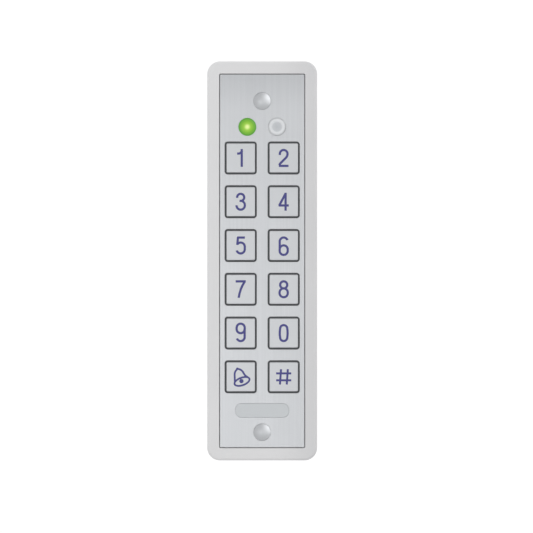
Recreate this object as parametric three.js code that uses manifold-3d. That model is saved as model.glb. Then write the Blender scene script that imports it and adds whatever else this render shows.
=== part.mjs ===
// A keypad access reader for a narrow door frame, in millimetres.
// Every piece is drawn on the bench: x runs to the right, y up the reader and z out from the wall.
// The last group stands the reader up: +Z is up, the keys face -Y, the origin is the middle of the wall face.
import * as THREE from "three";
import { mergeVertices } from "three/addons/utils/BufferGeometryUtils.js";
import Module from "manifold-3d";

const wasm = await Module();
wasm.setup();

// Front housing
const bodyWidth = 43;
const bodyHeight = 156;
const bodyDepth = 24;
const bodyCorner = 5;
const bodyEdgeRound = 1;
const shellWall = 2.2;
const ledgeThickness = 2;
const skirtGap = 0.2;

// Face plate and the tape that bonds it
const rimWidth = 4.7;
const rimEnd = 4.85;
const plateThickness = 1.5;
const plateCorner = 0.3;
const plateReveal = 0.32;
const plateSink = 0.1;
const tapeThickness = 0.3;
const tapeInset = 0.4;

// Clearances
const seatGap = 0.05;
const looseGap = 0.1;

// Keys: two columns of six, and the black frame whose collars show as a dark line round each key
const keyNames = ["1", "2", "3", "4", "5", "6", "7", "8", "9", "0", "bell", "hash"];
const columnPitch = 16.8;
const rowPitch = 17.1;
const rowCount = 6;
const keyBlockPlace = -2.55;
const keyWidth = 11.12;
const keyHeight = 11.42;
const keyCorner = 0.5;
const keyProud = 0.3;
const keyTravel = 1;
const keyFootThickness = 1;
const keyFootReach = 0.9;
const keySkin = 1.4;
const keySideWall = 0.95;
const plungerSize = 5;
const plungerLength = 1.5;
const keyPlay = 0.1;
const collarWall = 0.5;
const collarSink = 0.15;
const collarPlay = 0.1;
const stopLip = 1;
const pocketPlay = 0.15;
const pocketWall = 0.7;
const framePlay = 0.15;
const frameUnderPlate = 0.2;
const frameFlange = 1.2;
const frameFlangeReach = 1.3;
const frameRim = 1.2;
const windowSideReach = 0.65;

// Silicone mat with a hollow dome under each key
const matThickness = 0.8;
const domeHeight = 2.7;
const domeFootRadius = 4.9;
const domeShoulderRadius = 2.9;
const domeTopRadius = 2.7;
const domeCavityRadius = 4.1;
const domeSkin = 1.2;
const pillRadius = 1.4;

// Circuit board and what is soldered to it
const boardPlay = 1.3;
const boardOverLenses = 7.6;
const boardEndGap = 1.2;
const boardNotchPlay = 0.4;
const boardThickness = 1.6;
const boardCorner = 1.5;
const solderGap = 0.1;
const boardScrewInset = [3.5, 4];
const boardScrewRadius = 1.2;
const boardScrewLength = 5;
const boardScrewHeadRadius = 2.3;
const boardScrewHeadHeight = 1.5;
const boardScrewSlot = [3, 0.6, 0.75];
const boardBossRadius = 2.8;
const boardBossGap = 0.25;
const backlightOffset = 2.6;
const backlightSize = [1.6, 0.8, 0.6];
const statusLedSize = [3.5, 2.8, 1.9];

// Status lenses
const lensX = 5.8;
const lensWall = 0.5;
const lensRadius = 3.45;
const lensDome = 0.5;
const lensFlangeReach = 0.45;
const lensFlangeThickness = 1.1;
const lensStemRadius = 2.4;
const lensStemGap = 0.4;
const lensPlay = 0.1;
const lensBorePlay = 0.2;

// Security screws, their brass inserts and the domed caps over them
const capAboveLenses = 3.3;
const capBelowLabel = 2.5;
const capRadius = 3.35;
const capDome = 1;
const capShoulder = 0.35;
const capStemLength = 5;
const capPlay = 0.1;
const capStemPlay = 0.2;
const bossWall = 1.2;
const screwRadius = 1.5;
const screwHeadRadius = 2.75;
const screwHeadHeight = 2.2;
const screwSocketRadius = 1.25;
const screwSocketDepth = 1.4;
const screwHolePlay = 0.3;
const screwTip = 0.6;
const insertWall = 0.8;
const insertLength = 5;
const insertPlay = 0.05;
const baseBossWall = 1.5;
const baseBossSole = 1.2;

// Blank label inlay
const labelWidth = 20.9;
const labelHeight = 5.35;
const labelCorner = 2.3;
const labelDrop = 2.85;
const labelThickness = 0.35;
const labelPocket = 0.5;

// Rear base, its seal and its cable grommet
const baseFloor = 2.2;
const basePlay = 0.3;
const lipHeight = 3.3;
const lipWall = 1.4;
const sealWidth = 1.6;
const sealHeight = 1.8;
const sealPlay = 0.1;
const fixingSpacing = 83.3;
const fixingWidth = 4.6;
const fixingLength = 8;
const fixingCorner = 2.25;
const cableEntryPlace = -20;
const cableHoleRadius = 6.2;
const grommetBore = 4;
const grommetLip = 1.6;
const grommetPlay = 0.1;
const grommetRebate = 0.9;
const grommetFlange = 1.2;
const tamperPlace = [-9, -28];
const tamperWindowRadius = 2.6;
const rearRibWidth = 1.2;
const rearRibHeight = 1.6;
const rearRibPlaces = [-52, -33, 12, 24, 52];

// Parts on the back of the board
const headerSize = [27.4, 6, 6];
const headerPlace = [0, -4];
const headerWall = 0.8;
const headerPins = 10;
const pinPitch = 2.54;
const pinSize = 0.64;
const buzzerPlace = [9.5, -42];
const buzzerRadius = 6;
const buzzerHeight = 5.5;
const buzzerHoleRadius = 1;
const capacitorPlace = [11, -26];
const capacitorRadius = 3.15;
const capacitorHeight = 5.4;
const coilPlace = [0, 28];
const coilInset = 1.5;
const coilHeight = 44;
const coilCorner = 6;
const coilWidth = 2;
const coilThickness = 1.2;
const chips = [
  { name: "processor_chip", place: [0, 36], size: [7, 7, 1] },
  { name: "reader_chip", place: [0, 21], size: [5, 5, 0.9] },
  { name: "crystal", place: [8.5, 36], size: [5, 3.2, 1.2] },
  { name: "power_regulator", place: [-9, -44], size: [6.5, 3.5, 1.7] },
  { name: "tamper_sensor", place: tamperPlace, size: [4.2, 3.2, 1.8] },
];

// Heights above the wall, worked down from the front and up from the wall
const plateTop = bodyDepth - plateSink;
const plateBottom = plateTop - plateThickness;
const tapeTop = plateBottom - seatGap;
const recessFloor = tapeTop - tapeThickness - seatGap;
const frontInside = recessFloor - ledgeThickness;
const frameTop = plateBottom - frameUnderPlate;
const collarTop = plateTop - collarSink;
const footTop = frameTop - stopLip - looseGap;
const footBottom = footTop - keyFootThickness;
const keyTop = plateTop + keyProud;
const flangeTop = frontInside - looseGap;
const plungerBottom = footBottom - plungerLength;
const matTop = plungerBottom - looseGap - domeHeight;
const matBottom = matTop - matThickness;
const boardTop = matBottom - looseGap;
const boardBottom = boardTop - boardThickness;
const rearSolder = boardBottom - solderGap;
const capStemBottom = plateBottom - capStemLength;
const screwHeadTop = capStemBottom - looseGap;
const screwHeadBottom = screwHeadTop - screwHeadHeight;
const insertBottom = baseFloor + baseBossSole;
const baseBossTop = insertBottom + insertLength;
const bossBottom = baseBossTop + 2 * looseGap;

// Outlines and places that several pieces share
const plateWidth = bodyWidth - 2 * (rimWidth + plateReveal);
const plateHeight = bodyHeight - 2 * (rimEnd + plateReveal);
const keyBlockHeight = (rowCount - 1) * rowPitch;
const insideWidth = bodyWidth - 2 * shellWall;
const insideHeight = bodyHeight - 2 * shellWall;
const insideCorner = bodyCorner - shellWall;
const openingWidth = keyWidth + 2 * (keyPlay + collarWall + collarPlay);
const openingHeight = keyHeight + 2 * (keyPlay + collarWall + collarPlay);
const openingCorner = keyCorner + keyPlay + collarWall + collarPlay;
const topRowHeight = keyBlockPlace + keyBlockHeight / 2;
const pocketHeight = keyHeight + 2 * (keyFootReach + pocketPlay);
const plugWidth = columnPitch + openingWidth + 2 * (windowSideReach - framePlay);
const plugHeight = keyBlockHeight + pocketHeight + 2 * pocketWall;
const windowWidth = plugWidth + 2 * framePlay;
const windowHeight = plugHeight + 2 * framePlay;
const windowCorner = 1;
const flangeWidth = windowWidth + 2 * frameFlangeReach;
const flangeHeight = windowHeight + 2 * frameFlangeReach;
const lensFlangeRadius = lensRadius + lensFlangeReach;
const lensHeight = keyBlockPlace + windowHeight / 2 + lensWall + lensFlangeRadius + framePlay;
const labelPlace = keyBlockPlace - windowHeight / 2 - labelDrop - labelHeight / 2;
const topScrewHeight = lensHeight + lensRadius + capAboveLenses + capRadius;
const bottomScrewHeight = labelPlace - labelHeight / 2 - capBelowLabel - capRadius;
const capStemRadius = capRadius - capShoulder;
const counterboreRadius = capStemRadius + capStemPlay;
const bossRadius = counterboreRadius + bossWall;
const insertRadius = screwRadius + insertWall;
const baseBossRadius = insertRadius + baseBossWall;
const boardWidth = insideWidth - 2 * boardPlay;
const boardTopEdge = lensHeight + boardOverLenses;
const boardBottomEdge = bottomScrewHeight + bossRadius + boardEndGap;
const boardScrewX = boardWidth / 2 - boardScrewInset[0];
const boardScrewTop = boardTopEdge - boardScrewInset[1];
const boardScrewBottom = keyBlockPlace - flangeHeight / 2 - boardBossGap - boardBossRadius;
const keyPlaces = keyNames.map((name, i) => ({
  name,
  x: (i % 2 ? 0.5 : -0.5) * columnPitch,
  y: topRowHeight - Math.floor(i / 2) * rowPitch,
}));
const screwPlaces = { top: topScrewHeight, bottom: bottomScrewHeight };
const lensPlaces = { left: -lensX, right: lensX };
const boardScrewPlaces = [
  [-boardScrewX, boardScrewTop],
  [boardScrewX, boardScrewTop],
  [-boardScrewX, boardScrewBottom],
  [boardScrewX, boardScrewBottom],
];

// Finishes
const finish = (color, roughness, metalness) =>
  new THREE.MeshStandardMaterial({ color, roughness, metalness });
const paint = finish(0xd7d8da, 0.45, 0.2);
const brushedSteel = finish(0xcfd3d5, 0.32, 1);
const satinSteel = finish(0xd3d6d8, 0.4, 0.9);
const blackPlastic = finish(0x1d2022, 0.6, 0);
const greySilicone = finish(0xb9bcc2, 0.75, 0);
const darkRubber = finish(0x26282a, 0.85, 0);
const whiteTape = finish(0xe6e6e2, 0.8, 0);
const labelFilm = finish(0xc9cccf, 0.4, 0.3);
const greenLens = finish(0x6fc23a, 0.15, 0);
const clearLens = finish(0xd9dcdf, 0.2, 0);
const zincScrew = finish(0xb8bcc0, 0.35, 1);
const brass = finish(0xc5a04a, 0.35, 1);
const boardGreen = finish(0x1f5b39, 0.5, 0.1);
const chipBlack = finish(0x16181a, 0.55, 0);
const whiteNylon = finish(0xe9e6dc, 0.5, 0);
const ledWhite = finish(0xf1efe6, 0.4, 0);
const copper = finish(0xb66a3c, 0.35, 0.9);
const tin = finish(0xc2c5c8, 0.3, 1);
const darkGrey = finish(0x3a3d40, 0.6, 0);

// An outline w wide and h high with round corners, centred on x, y.
function roundedRect(w, h, r, x = 0, y = 0) {
  const right = x + w / 2;
  const top = y + h / 2;
  const shape = new THREE.Shape();
  shape.absarc(right - r, top - r, r, 0, Math.PI / 2);
  shape.absarc(right - w + r, top - r, r, Math.PI / 2, Math.PI);
  shape.absarc(right - w + r, top - h + r, r, Math.PI, 1.5 * Math.PI);
  shape.absarc(right - r, top - h + r, r, 1.5 * Math.PI, 2 * Math.PI);
  return shape;
}

function circle(r, x = 0, y = 0) {
  return new THREE.Shape().absarc(x, y, r, 0, 2 * Math.PI);
}

// A flat piece of an outline, from one height above the wall to another.
function slab(shape, from, to, curveSegments = 1) {
  const geometry = new THREE.ExtrudeGeometry(shape, {
    depth: to - from,
    bevelEnabled: false,
    curveSegments,
  });
  return solid(geometry.translate(0, 0, from));
}

// A round piece turned from a profile of [radius, height] points, from low on the axis to high on it.
function turned(profile, x, y, segments = 16) {
  const points = profile.map(([r, z]) => new THREE.Vector2(r, z));
  const geometry = new THREE.LatheGeometry(points, segments).rotateX(Math.PI / 2);
  return solid(geometry.translate(x, y, 0));
}

function cylinder(r, from, to, x = 0, y = 0, segments = 16) {
  const profile = [
    [0, from],
    [r, from],
    [r, to],
    [0, to],
  ];
  return turned(profile, x, y, segments);
}

// A block w by h by d that hangs from the back of the board, or stands on its front.
function block([w, h, d], [x, y], base, towardsWall) {
  const geometry = new THREE.BoxGeometry(w, h, d);
  return solid(geometry.translate(x, y, towardsWall ? base - d / 2 : base + d / 2));
}

function solid(geometry) {
  geometry.deleteAttribute("normal");
  geometry.deleteAttribute("uv");
  const merged = mergeVertices(geometry, 1e-4);
  const mesh = new wasm.Mesh({
    numProp: 3,
    vertProperties: merged.attributes.position.array,
    triVerts: new Uint32Array(merged.index.array),
  });
  return new wasm.Manifold(mesh);
}

const joined = (first, ...others) => others.reduce((sum, next) => sum.add(next), first);
const cut = (from, ...tools) => tools.reduce((rest, tool) => rest.subtract(tool), from);

function piece(name, shape, material) {
  const { vertProperties, triVerts } = shape.getMesh();
  const geometry = new THREE.BufferGeometry();
  geometry.setAttribute("position", new THREE.BufferAttribute(vertProperties, 3));
  geometry.setIndex(new THREE.BufferAttribute(triVerts, 1));
  geometry.computeVertexNormals();
  const mesh = new THREE.Mesh(geometry, material);
  mesh.name = name;
  return mesh;
}

// The painted shell: a deep tray, with a recess for the plate, a window for the keys and two screw bosses.
function frontHousing() {
  const outline = roundedRect(bodyWidth, bodyHeight, bodyCorner);
  const blank = new THREE.ExtrudeGeometry(outline, {
    depth: bodyDepth,
    curveSegments: 4,
    bevelThickness: bodyEdgeRound,
    bevelSize: bodyEdgeRound,
    bevelOffset: -bodyEdgeRound,
    bevelSegments: 2,
  });
  const outer = solid(blank.translate(0, 0, -bodyEdgeRound));
  const wallSide = slab(roundedRect(bodyWidth + 2, bodyHeight + 2, bodyCorner), -2 * bodyEdgeRound, skirtGap);
  const hollow = slab(roundedRect(insideWidth, insideHeight, insideCorner), skirtGap - 1, frontInside, 3);
  const bosses = Object.values(screwPlaces).map((y) =>
    cylinder(bossRadius, bossBottom, recessFloor - seatGap, 0, y),
  );
  const boardBosses = boardScrewPlaces.map(([x, y]) =>
    cylinder(boardBossRadius, boardTop + looseGap, frontInside + seatGap, x, y),
  );
  const recess = slab(
    roundedRect(plateWidth + 2 * plateReveal, plateHeight + 2 * plateReveal, plateCorner + plateReveal),
    recessFloor,
    bodyDepth + 1,
  );
  const keyWindow = slab(
    roundedRect(windowWidth, windowHeight, windowCorner, 0, keyBlockPlace),
    frontInside - 1,
    bodyDepth,
  );
  const lensSeats = Object.values(lensPlaces).flatMap((x) => [
    cylinder(lensFlangeRadius + framePlay, recessFloor - lensFlangeThickness, bodyDepth, x, lensHeight),
    cylinder(lensStemRadius + lensBorePlay, frontInside - 1, bodyDepth, x, lensHeight),
  ]);
  const screwBores = Object.values(screwPlaces).flatMap((y) => [
    cylinder(counterboreRadius, screwHeadBottom - looseGap, bodyDepth, 0, y),
    cylinder(screwRadius + screwHolePlay, bossBottom - 1, bodyDepth, 0, y),
  ]);
  const pilotHoles = boardScrewPlaces.map(([x, y]) =>
    cylinder(boardScrewRadius + looseGap, boardTop - 1, boardTop + boardScrewLength, x, y, 12),
  );
  const shell = joined(cut(outer, wallSide, hollow), ...bosses, ...boardBosses);
  return cut(shell, recess, keyWindow, ...lensSeats, ...screwBores, ...pilotHoles);
}

function plateTape() {
  const shape = roundedRect(plateWidth - 2 * tapeInset, plateHeight - 2 * tapeInset, plateCorner);
  const keyHole = [windowWidth + 2 * looseGap, windowHeight + 2 * looseGap, windowCorner];
  shape.holes.push(roundedRect(...keyHole, 0, keyBlockPlace));
  const blank = slab(shape, recessFloor + seatGap, tapeTop);
  const lensHoles = Object.values(lensPlaces).map((x) =>
    cylinder(lensFlangeRadius + framePlay, recessFloor - 1, plateTop, x, lensHeight),
  );
  const capHoles = Object.values(screwPlaces).map((y) =>
    cylinder(capRadius + capStemPlay, recessFloor - 1, plateTop, 0, y),
  );
  return cut(blank, ...lensHoles, ...capHoles);
}

function facePlate() {
  const shape = roundedRect(plateWidth, plateHeight, plateCorner);
  for (const { x, y } of keyPlaces) {
    shape.holes.push(roundedRect(openingWidth, openingHeight, openingCorner, x, y));
  }
  const blank = slab(shape, plateBottom, plateTop);
  const lensHoles = Object.values(lensPlaces).map((x) =>
    cylinder(lensRadius + lensPlay, plateBottom - 1, plateTop + 1, x, lensHeight),
  );
  const capHoles = Object.values(screwPlaces).map((y) =>
    cylinder(capRadius + capPlay, plateBottom - 1, plateTop + 1, 0, y),
  );
  const labelOutline = roundedRect(
    labelWidth + 2 * looseGap,
    labelHeight + 2 * looseGap,
    labelCorner + looseGap,
    0,
    labelPlace,
  );
  const labelRecess = slab(labelOutline, plateTop - labelPocket, plateTop + 1, 3);
  return cut(blank, ...lensHoles, ...capHoles, labelRecess);
}

function labelInlay() {
  const outline = roundedRect(labelWidth, labelHeight, labelCorner, 0, labelPlace);
  const bottom = plateTop - labelPocket + seatGap;
  return slab(outline, bottom, bottom + labelThickness, 3);
}

// The black frame: a plug in the window, a collar up round each key, and a flange behind that holds the mat.
function keyFrame() {
  const flange = slab(
    roundedRect(flangeWidth, flangeHeight, windowCorner, 0, keyBlockPlace),
    matTop + looseGap,
    flangeTop,
  );
  const plug = slab(
    roundedRect(plugWidth, plugHeight, windowCorner - framePlay, 0, keyBlockPlace),
    flangeTop - seatGap,
    frameTop,
  );
  const collar = [openingWidth - 2 * collarPlay, openingHeight - 2 * collarPlay, openingCorner - collarPlay];
  const collars = keyPlaces.map(({ x, y }) =>
    slab(roundedRect(...collar, x, y), frameTop - seatGap, collarTop),
  );
  const underside = slab(
    roundedRect(flangeWidth - 2 * frameRim, flangeHeight - 2 * frameRim, windowCorner / 2, 0, keyBlockPlace),
    matTop,
    flangeTop - frameFlange,
  );
  const bore = [keyWidth + 2 * keyPlay, keyHeight + 2 * keyPlay, keyCorner + keyPlay];
  const bores = keyPlaces.map(({ x, y }) => slab(roundedRect(...bore, x, y), matTop, keyTop));
  const pocket = [keyWidth + 2 * keyPlay, pocketHeight, keyCorner + keyPlay];
  const pockets = keyPlaces.map(({ x, y }) => slab(roundedRect(...pocket, x, y), matTop, frameTop - stopLip));
  return cut(joined(flange, plug, ...collars), underside, ...bores, ...pockets);
}

// One key: a hollow cap, a foot held behind the stop of the frame, and a plunger over its dome.
function key(x, y) {
  const cap = slab(roundedRect(keyWidth, keyHeight, keyCorner, x, y), footBottom, keyTop);
  const footHeight = keyHeight + 2 * keyFootReach;
  const foot = slab(roundedRect(keyWidth, footHeight, keyCorner, x, y), footBottom, footTop);
  const hollow = slab(
    roundedRect(keyWidth - 2 * keySideWall, keyHeight - 2 * keySideWall, keyCorner, x, y),
    footBottom - 1,
    keyTop - keySkin,
  );
  const plunger = slab(
    roundedRect(plungerSize, plungerSize, keyCorner, x, y),
    plungerBottom,
    keyTop - keySkin + seatGap,
  );
  return joined(cut(joined(cap, foot), hollow), plunger);
}

function keyMat() {
  const sheet = slab(
    roundedRect(flangeWidth - 2 * looseGap, flangeHeight - 2 * looseGap, windowCorner, 0, keyBlockPlace),
    matBottom,
    matTop,
  );
  const domeTop = matTop + domeHeight;
  const domes = keyPlaces.map(({ x, y }) =>
    turned(
      [
        [0, matBottom],
        [domeFootRadius, matBottom],
        [domeFootRadius, matTop],
        [domeShoulderRadius, domeTop - matThickness],
        [domeTopRadius, domeTop],
        [0, domeTop],
      ],
      x,
      y,
      8,
    ),
  );
  const cavities = keyPlaces.map(({ x, y }) =>
    turned(
      [
        [0, matBottom - 1],
        [domeCavityRadius, matBottom - 1],
        [domeCavityRadius, matTop - matThickness / 2],
        [domeShoulderRadius - matThickness / 2, domeTop - domeSkin],
        [pillRadius, domeTop - domeSkin],
        [pillRadius, matBottom + keyTravel - seatGap],
        [0, matBottom + keyTravel - seatGap],
      ],
      x,
      y,
      8,
    ),
  );
  return cut(joined(sheet, ...domes), ...cavities);
}

function circuitBoard() {
  const outline = roundedRect(
    boardWidth,
    boardTopEdge - boardBottomEdge,
    boardCorner,
    0,
    (boardTopEdge + boardBottomEdge) / 2,
  );
  const notches = Object.values(screwPlaces).map((y) =>
    cylinder(bossRadius + boardNotchPlay, boardBottom - 1, boardTop + 1, 0, y),
  );
  const holes = boardScrewPlaces.map(([x, y]) =>
    cylinder(boardScrewRadius + screwHolePlay, boardBottom - 1, boardTop + 1, x, y, 12),
  );
  return cut(slab(outline, boardBottom, boardTop), ...notches, ...holes);
}

function boardScrew(x, y) {
  const headTop = boardBottom - solderGap;
  const shank = cylinder(boardScrewRadius, headTop - seatGap, headTop + boardScrewLength, x, y, 12);
  const head = cylinder(boardScrewHeadRadius, headTop - boardScrewHeadHeight, headTop, x, y);
  const [slotLength, slotWidth, slotDepth] = boardScrewSlot;
  const slotPlace = headTop - boardScrewHeadHeight + slotDepth;
  const across = block([slotLength, slotWidth, 2 * slotDepth], [x, y], slotPlace, true);
  const along = block([slotWidth, slotLength, 2 * slotDepth], [x, y], slotPlace, true);
  return cut(joined(shank, head), across, along);
}

function statusLens(x) {
  const flangeBottom = recessFloor - lensFlangeThickness + looseGap;
  const profile = [
    [0, boardTop + solderGap + statusLedSize[2] + lensStemGap],
    [lensStemRadius, boardTop + solderGap + statusLedSize[2] + lensStemGap],
    [lensStemRadius, flangeBottom],
    [lensFlangeRadius, flangeBottom],
    [lensFlangeRadius, flangeBottom + lensFlangeThickness],
    [lensRadius, flangeBottom + lensFlangeThickness],
    ...domeProfile(lensRadius, lensDome, plateTop),
  ];
  return turned(profile, x, lensHeight);
}

// The points of a shallow dome of radius r that rises by h above height z, from its edge to the axis.
function domeProfile(r, h, z, steps = 3) {
  const sphere = (r * r + h * h) / (2 * h);
  const edgeAngle = Math.asin(r / sphere);
  return Array.from({ length: steps + 1 }, (_, i) => {
    const angle = edgeAngle * (1 - i / steps);
    return [i < steps ? sphere * Math.sin(angle) : 0, z + h - sphere * (1 - Math.cos(angle))];
  });
}

function screwCap(y) {
  const profile = [
    [0, capStemBottom],
    [capStemRadius, capStemBottom],
    [capStemRadius, recessFloor],
    [capRadius, plateBottom],
    ...domeProfile(capRadius, capDome, plateTop),
  ];
  return turned(profile, 0, y);
}

function securityScrew(y) {
  const profile = [
    [0, insertBottom + screwTip],
    [screwRadius - screwTip, insertBottom + screwTip],
    [screwRadius, insertBottom + 2 * screwTip],
    [screwRadius, screwHeadBottom],
    [screwHeadRadius, screwHeadBottom],
    [screwHeadRadius, screwHeadTop - screwTip],
    [screwHeadRadius - screwTip, screwHeadTop],
    [0, screwHeadTop],
  ];
  const socket = cylinder(screwSocketRadius, screwHeadTop - screwSocketDepth, screwHeadTop + 1, 0, y, 6);
  return cut(turned(profile, 0, y), socket);
}

function threadedInsert(y) {
  const sleeve = cylinder(insertRadius, insertBottom + looseGap, baseBossTop, 0, y);
  return cut(sleeve, cylinder(screwRadius + insertPlay, insertBottom - 1, baseBossTop + 1, 0, y));
}

// The base that is screwed to the wall: a floor with a raised lip, two bosses, ribs, slots and a cable hole.
function rearBase() {
  const floorWidth = insideWidth - 2 * basePlay;
  const floorHeight = insideHeight - 2 * basePlay;
  const floorCorner = insideCorner - basePlay;
  const floor = slab(roundedRect(floorWidth, floorHeight, floorCorner), 0, baseFloor, 2);
  const lipOutline = roundedRect(floorWidth - 2 * sealWidth, floorHeight - 2 * sealWidth, floorCorner / 2);
  const inset = 2 * (sealWidth + lipWall);
  lipOutline.holes.push(roundedRect(floorWidth - inset, floorHeight - inset, floorCorner / 4));
  const lip = slab(lipOutline, baseFloor - seatGap, baseFloor + lipHeight);
  const bosses = Object.values(screwPlaces).map((y) => cylinder(baseBossRadius, seatGap, baseBossTop, 0, y));
  const ribLength = floorWidth - 2 * sealWidth - lipWall;
  const ribs = rearRibPlaces.map((y) =>
    block([ribLength, rearRibWidth, rearRibHeight], [0, y], baseFloor - seatGap, false),
  );
  const insertHoles = Object.values(screwPlaces).map((y) =>
    cylinder(insertRadius + insertPlay, insertBottom, baseBossTop + 1, 0, y),
  );
  const slots = [-0.5, 0.5].map((end) =>
    slab(roundedRect(fixingWidth, fixingLength, fixingCorner, 0, end * fixingSpacing), -1, baseFloor + 1, 3),
  );
  const cableHole = cylinder(cableHoleRadius, -1, baseFloor + 1, 0, cableEntryPlace);
  const rebate = cylinder(cableHoleRadius + grommetLip + grommetPlay, -1, grommetRebate, 0, cableEntryPlace);
  const tamperWindow = cylinder(tamperWindowRadius, -1, baseFloor + 1, ...tamperPlace);
  const base = joined(floor, lip, ...bosses, ...ribs);
  return cut(base, ...insertHoles, ...slots, cableHole, rebate, tamperWindow);
}

function housingSeal() {
  const width = insideWidth - 2 * sealPlay;
  const height = insideHeight - 2 * sealPlay;
  const ring = 2 * (sealWidth + basePlay - 2 * sealPlay);
  const shape = roundedRect(width, height, insideCorner - sealPlay);
  shape.holes.push(roundedRect(width - ring, height - ring, (insideCorner - basePlay) / 2));
  return slab(shape, baseFloor + seatGap, baseFloor + seatGap + sealHeight);
}

function cableGrommet() {
  const outer = cableHoleRadius + grommetLip;
  const waist = cableHoleRadius - grommetPlay;
  const profile = [
    [grommetBore, grommetPlay],
    [outer, grommetPlay],
    [outer, grommetRebate - grommetPlay],
    [waist, grommetRebate - grommetPlay],
    [waist, baseFloor + grommetPlay],
    [outer, baseFloor + grommetPlay],
    [outer, baseFloor + grommetPlay + grommetFlange],
    [grommetBore, baseFloor + grommetPlay + grommetFlange],
    [grommetBore, grommetPlay],
  ];
  return turned(profile, 0, cableEntryPlace);
}

// The white socket that the cable plugs into: an open tray with a row of pins on its floor.
function cableHeader() {
  const [w, h, d] = headerSize;
  const tray = block(headerSize, headerPlace, rearSolder, true);
  const socket = [w - 2 * headerWall, h - 2 * headerWall, d];
  const hollow = block(socket, headerPlace, rearSolder - 2 * headerWall, true);
  const pins = Array.from({ length: headerPins }, (_, i) => {
    const x = headerPlace[0] + (i - (headerPins - 1) / 2) * pinPitch;
    return block([pinSize, pinSize, d - 2 * headerWall], [x, headerPlace[1]], rearSolder - headerWall, true);
  });
  return joined(cut(tray, hollow), ...pins);
}

function buzzer() {
  const [x, y] = buzzerPlace;
  const bottom = rearSolder - buzzerHeight;
  const can = cylinder(buzzerRadius, bottom, rearSolder, x, y);
  return cut(can, cylinder(buzzerHoleRadius, bottom - 1, bottom + buzzerHeight / 2, x, y, 12));
}

function filterCapacitor() {
  return cylinder(capacitorRadius, rearSolder - capacitorHeight, rearSolder, ...capacitorPlace);
}

function antennaCoil() {
  const [w, h] = [boardWidth - 2 * coilInset, coilHeight];
  const shape = roundedRect(w, h, coilCorner, ...coilPlace);
  shape.holes.push(roundedRect(w - 2 * coilWidth, h - 2 * coilWidth, coilCorner - coilWidth, ...coilPlace));
  return slab(shape, rearSolder - coilThickness, rearSolder);
}

const bench = new THREE.Group();
bench.add(
  piece("front_housing", frontHousing(), paint),
  piece("plate_tape", plateTape(), whiteTape),
  piece("face_plate", facePlate(), brushedSteel),
  piece("label_inlay", labelInlay(), labelFilm),
  piece("key_frame", keyFrame(), blackPlastic),
  piece("key_mat", keyMat(), greySilicone),
  piece("circuit_board", circuitBoard(), boardGreen),
  piece("rear_base", rearBase(), blackPlastic),
  piece("housing_seal", housingSeal(), darkRubber),
  piece("cable_grommet", cableGrommet(), darkRubber),
  piece("cable_header", cableHeader(), whiteNylon),
  piece("buzzer", buzzer(), darkGrey),
  piece("filter_capacitor", filterCapacitor(), tin),
  piece("antenna_coil", antennaCoil(), copper),
);
for (const { name, x, y } of keyPlaces) {
  const backlight = block(backlightSize, [x + backlightOffset, y], boardTop + seatGap, false);
  bench.add(piece(`key_${name}`, key(x, y), satinSteel), piece(`backlight_${name}`, backlight, ledWhite));
}
for (const [side, x] of Object.entries(lensPlaces)) {
  const led = block(statusLedSize, [x, lensHeight], boardTop + solderGap, false);
  bench.add(piece(`status_lens_${side}`, statusLens(x), side === "left" ? greenLens : clearLens));
  bench.add(piece(`status_led_${side}`, led, ledWhite));
}
for (const [end, y] of Object.entries(screwPlaces)) {
  bench.add(piece(`screw_cap_${end}`, screwCap(y), satinSteel));
  bench.add(piece(`security_screw_${end}`, securityScrew(y), zincScrew));
  bench.add(piece(`threaded_insert_${end}`, threadedInsert(y), brass));
}
for (const [i, [x, y]] of boardScrewPlaces.entries()) {
  bench.add(piece(`board_screw_${i + 1}`, boardScrew(x, y), zincScrew));
}
for (const { name, place, size } of chips) {
  bench.add(piece(name, block(size, place, rearSolder, true), name === "crystal" ? tin : chipBlack));
}
bench.rotation.x = Math.PI / 2;

const keypadReader = new THREE.Group();
keypadReader.add(bench);

export default keypadReader;
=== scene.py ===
from math import cos, inf, pi, radians, sin
import bpy
import bmesh
from bmesh.types import BMEdge, BMVert
from mathutils import Matrix, Vector


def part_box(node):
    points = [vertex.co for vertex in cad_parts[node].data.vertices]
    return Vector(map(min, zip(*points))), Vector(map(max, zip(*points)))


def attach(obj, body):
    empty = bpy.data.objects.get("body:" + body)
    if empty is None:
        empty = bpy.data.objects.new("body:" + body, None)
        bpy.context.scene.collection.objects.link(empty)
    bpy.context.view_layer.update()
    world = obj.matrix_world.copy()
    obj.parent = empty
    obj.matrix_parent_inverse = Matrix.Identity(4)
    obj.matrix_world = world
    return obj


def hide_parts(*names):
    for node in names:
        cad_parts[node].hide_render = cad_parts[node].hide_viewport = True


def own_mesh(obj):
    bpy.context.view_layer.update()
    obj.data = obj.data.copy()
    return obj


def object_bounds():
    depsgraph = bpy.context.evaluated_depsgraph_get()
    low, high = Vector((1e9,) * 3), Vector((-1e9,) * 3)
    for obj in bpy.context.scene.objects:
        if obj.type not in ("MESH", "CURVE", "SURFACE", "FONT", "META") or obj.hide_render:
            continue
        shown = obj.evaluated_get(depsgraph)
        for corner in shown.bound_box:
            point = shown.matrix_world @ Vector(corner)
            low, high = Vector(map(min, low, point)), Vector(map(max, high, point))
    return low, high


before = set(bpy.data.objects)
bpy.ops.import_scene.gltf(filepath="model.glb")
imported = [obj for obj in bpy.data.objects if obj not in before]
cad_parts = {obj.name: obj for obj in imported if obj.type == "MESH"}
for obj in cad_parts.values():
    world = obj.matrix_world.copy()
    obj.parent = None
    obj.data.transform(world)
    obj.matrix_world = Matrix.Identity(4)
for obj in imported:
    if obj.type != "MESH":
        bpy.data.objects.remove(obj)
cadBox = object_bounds()
scene = bpy.context.scene
print("frame loaded:", len(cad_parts), "nodes")

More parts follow.
